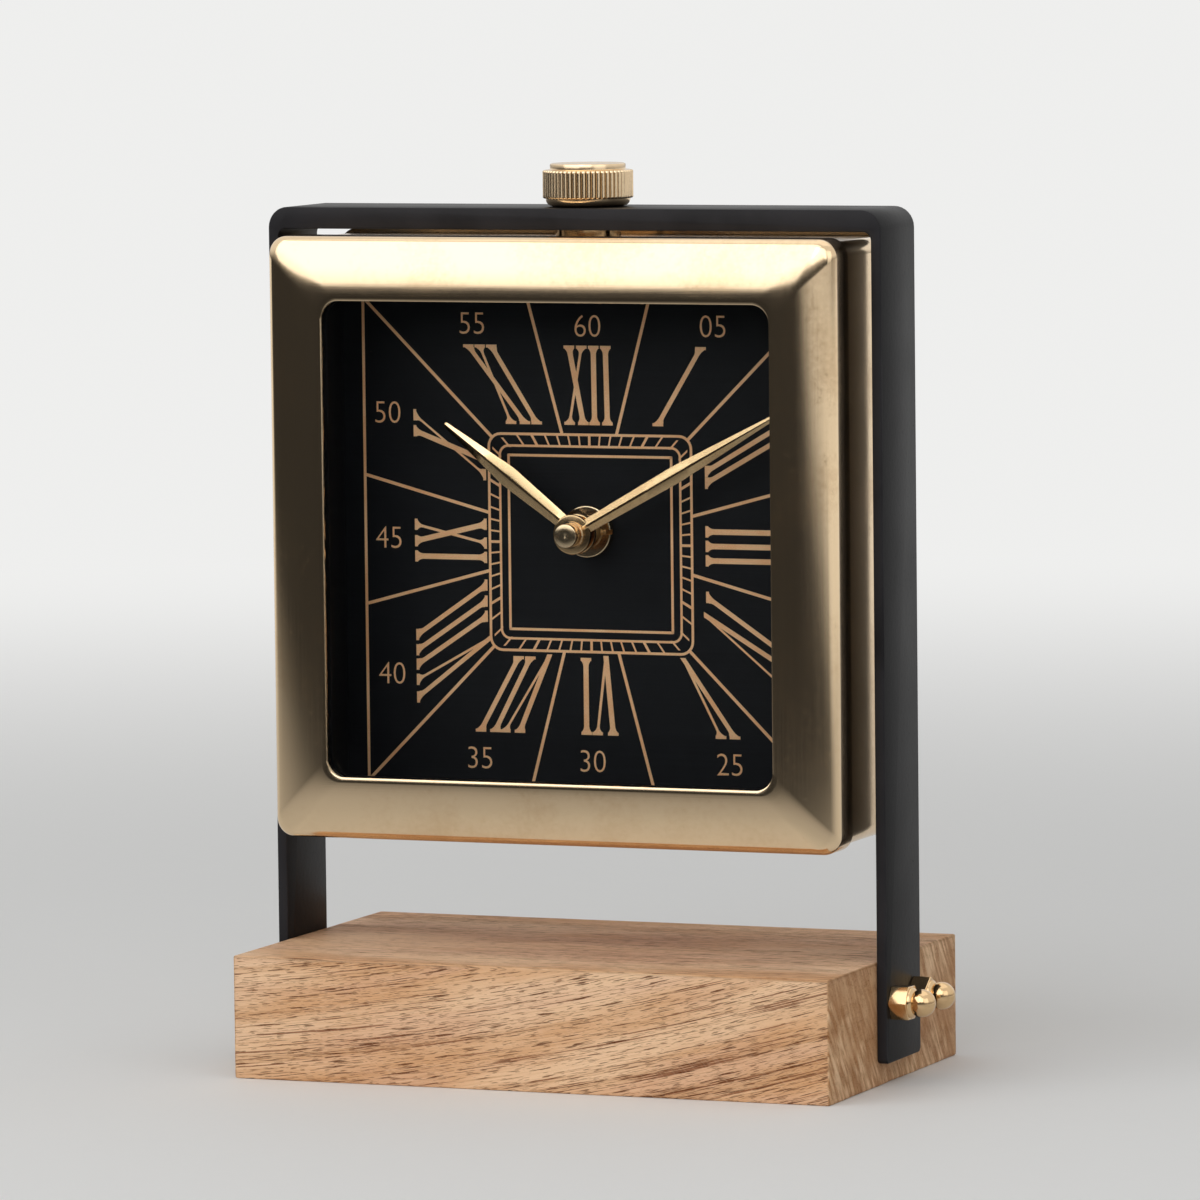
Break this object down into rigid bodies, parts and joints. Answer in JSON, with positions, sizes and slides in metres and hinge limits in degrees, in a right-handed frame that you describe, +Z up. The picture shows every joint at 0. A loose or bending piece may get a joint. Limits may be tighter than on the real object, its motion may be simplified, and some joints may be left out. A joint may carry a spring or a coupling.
{
  "type": "wooden desk clock",
  "caption": "Square brass desk clock with a deep black dial, hung in a black metal strap above a solid wooden block base, with a knurled crown on top.",
  "frame": {"origin": "middle of the base's underside, on the table", "axes": "+X to the viewer's right, +Y to the back, +Z up; the dial faces -Y"},
  "size_m": [0.1802, 0.09, 0.2207],
  "materials": {
    "wood": "open-grained hardwood, thin satin oil",
    "black_paint": "semi-gloss black",
    "brass": "polished pale brass",
    "steel": "plain bright steel",
    "glass": "clear",
    "dial_black": "satin black",
    "rubber": "matte",
    "black_plastic": "moulded, fine texture",
    "copper": "enamelled copper wire",
    "board_green": "lacquered board",
    "battery_wrap": "printed wrap, left plain",
    "gear_plastic": "moulded, natural white"
  },
  "bodies": {
    "stand": {"wood_base": "wood", "strap_frame": "black_paint", "acorn_nuts": "brass", "case_shell": "brass", "bezel": "brass", "back_cover": "brass", "back_screws": "brass", "case_spacer": "brass", "centre_bush": "brass", "dial_washer": "brass", "bush_nut": "brass", "base_studs": "steel", "case_rails": "steel", "case_bolt": "steel", "bolt_washer": "steel", "stator": "steel", "quartz_crystal": "steel", "battery_contact_plus": "steel", "battery_contact_minus": "steel", "glass_pane": "glass", "dial_surround": "dial_black", "dial_plate": "dial_black", "rubber_washer": "rubber", "movement_housing": "black_plastic", "movement_cover": "black_plastic", "coil_bobbin": "black_plastic", "coil_winding": "copper", "circuit_board": "board_green", "battery": "battery_wrap"},
    "crown": {"crown_knob": "brass"},
    "minute": {"minute_hand": "brass", "hand_nut": "brass", "minute_arbor": "brass", "clutch_washer": "steel"},
    "hour": {"hour_hand": "brass", "hour_wheel": "gear_plastic"},
    "setting": {"minute_wheel": "gear_plastic", "setting_knob": "black_plastic"},
    "centre": {"centre_wheel": "gear_plastic"},
    "third": {"third_wheel": "gear_plastic"},
    "seconds": {"seconds_wheel": "gear_plastic"},
    "intermediate": {"intermediate_wheel": "gear_plastic"},
    "rotor": {"rotor_magnet": "steel", "rotor_pinion": "gear_plastic"}
  },
  "joints": [
    {"name": "crown_turn", "type": "hinge", "parent": "stand", "child": "crown", "pos_m": [0, 0, 0.21], "axis": [0, 0, 1], "continuous": true},
    {"name": "minute_turn", "type": "hinge", "parent": "stand", "child": "minute", "pos_m": [0, 0, 0.1314], "axis": [0, 1, 0], "continuous": true},
    {"name": "hour_turn", "type": "hinge", "parent": "stand", "child": "hour", "pos_m": [0, 0, 0.1314], "axis": [0, 1, 0], "continuous": true},
    {"name": "setting_turn", "type": "hinge", "parent": "stand", "child": "setting", "pos_m": [-0.01039, 0, 0.1374], "axis": [0, 1, 0], "continuous": true},
    {"name": "seconds_turn", "type": "hinge", "parent": "stand", "child": "seconds", "pos_m": [0.00837, 0, 0.14556], "axis": [0, 1, 0], "continuous": true},
    {"name": "third_turn", "type": "hinge", "parent": "stand", "child": "third", "pos_m": [0.00689, 0, 0.13719], "axis": [0, 1, 0], "continuous": true},
    {"name": "centre_turn", "type": "hinge", "parent": "stand", "child": "centre", "pos_m": [0, 0, 0.1314], "axis": [0, 1, 0], "continuous": true},
    {"name": "intermediate_turn", "type": "hinge", "parent": "stand", "child": "intermediate", "pos_m": [0.00113, 0, 0.1475], "axis": [0, 1, 0], "continuous": true},
    {"name": "rotor_turn", "type": "hinge", "parent": "stand", "child": "rotor", "pos_m": [-0.00577, 0, 0.14871], "axis": [0, 1, 0], "continuous": true}
  ],
  "couplings": [
    {"joint": "hour_turn", "follows": "minute_turn", "ratio": 0.083333},
    {"joint": "setting_turn", "follows": "minute_turn", "ratio": -0.33333},
    {"joint": "third_turn", "follows": "seconds_turn", "ratio": -0.13333},
    {"joint": "centre_turn", "follows": "seconds_turn", "ratio": 0.016667},
    {"joint": "intermediate_turn", "follows": "seconds_turn", "ratio": -5},
    {"joint": "rotor_turn", "follows": "seconds_turn", "ratio": 30}
  ]
}
